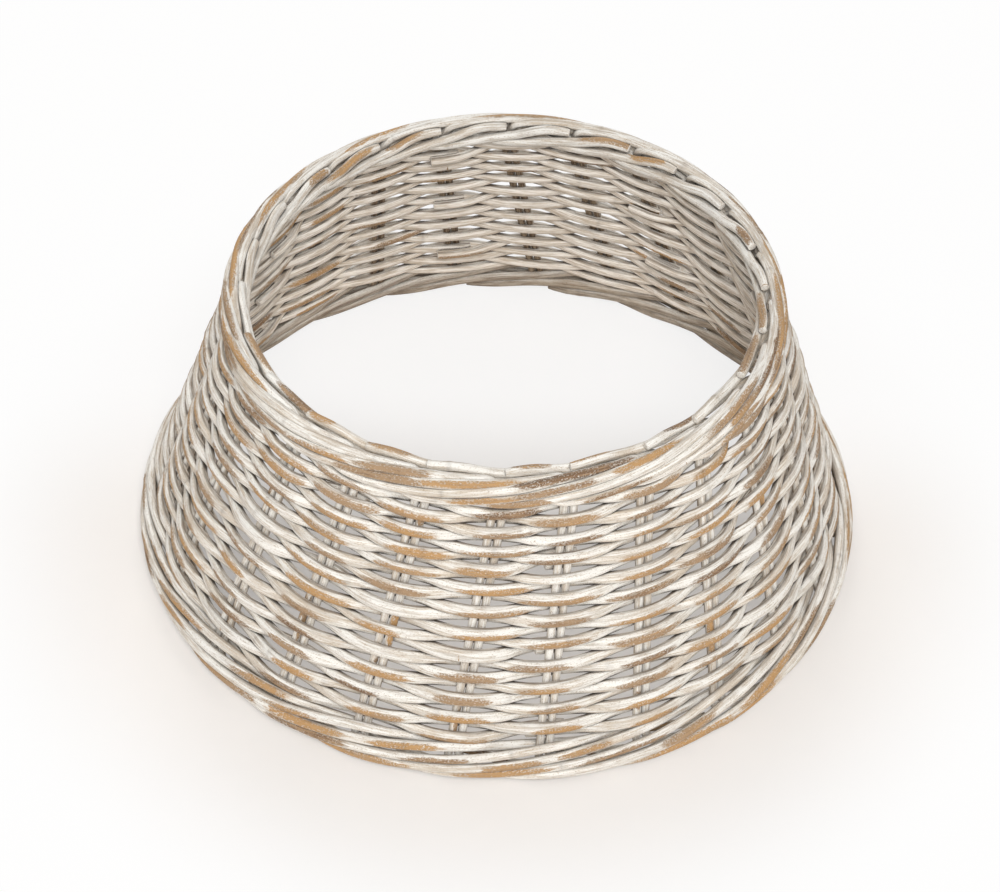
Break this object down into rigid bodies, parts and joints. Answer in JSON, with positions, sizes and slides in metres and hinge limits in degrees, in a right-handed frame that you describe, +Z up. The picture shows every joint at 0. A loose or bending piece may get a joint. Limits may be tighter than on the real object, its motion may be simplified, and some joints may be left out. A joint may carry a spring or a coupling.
{
  "type": "christmas tree collar",
  "caption": "Woven wicker collar, a tapered ring open at top and bottom, that stands on the floor and hides a Christmas tree's stand.",
  "frame": {"origin": "middle of the floor plane under the wide end, on the collar's axis", "axes": "+Z up along the collar's axis, -Y towards the front of the picture"},
  "size_m": [0.6356, 0.6356, 0.27],
  "materials": {
    "stake_rods": "matt whitewash, worn to tan on the crowns",
    "weaver_rods": "matt whitewash, worn to tan and brown where rods pass in front of stakes"
  },
  "bodies": {
    "root": {"stake_pair_01": "stake_rods", "stake_pair_02": "stake_rods", "stake_pair_03": "stake_rods", "stake_pair_04": "stake_rods", "stake_pair_05": "stake_rods", "stake_pair_06": "stake_rods", "stake_pair_07": "stake_rods", "stake_pair_08": "stake_rods", "stake_pair_09": "stake_rods", "stake_pair_10": "stake_rods", "stake_pair_11": "stake_rods", "stake_pair_12": "stake_rods", "stake_pair_13": "stake_rods", "stake_pair_14": "stake_rods", "stake_pair_15": "stake_rods", "stake_pair_16": "stake_rods", "stake_pair_17": "stake_rods", "stake_pair_18": "stake_rods", "stake_pair_19": "stake_rods", "stake_pair_20": "stake_rods", "stake_pair_21": "stake_rods", "stake_pair_22": "stake_rods", "stake_pair_23": "stake_rods", "stake_pair_24": "stake_rods", "weaver_row_01": "weaver_rods", "weaver_row_02": "weaver_rods", "weaver_row_03": "weaver_rods", "weaver_row_04": "weaver_rods", "weaver_row_05": "weaver_rods", "weaver_row_06": "weaver_rods", "weaver_row_07": "weaver_rods", "weaver_row_08": "weaver_rods", "weaver_row_09": "weaver_rods", "weaver_row_10": "weaver_rods", "weaver_row_11": "weaver_rods", "weaver_row_12": "weaver_rods", "weaver_row_13": "weaver_rods", "weaver_row_14": "weaver_rods", "weaver_row_15": "weaver_rods", "weaver_row_16": "weaver_rods", "weaver_row_17": "weaver_rods", "weaver_row_18": "weaver_rods", "weaver_row_19": "weaver_rods", "weaver_row_20": "weaver_rods", "weaver_row_21": "weaver_rods", "weaver_row_22": "weaver_rods", "weaver_row_23": "weaver_rods"}
  },
  "joints": []
}
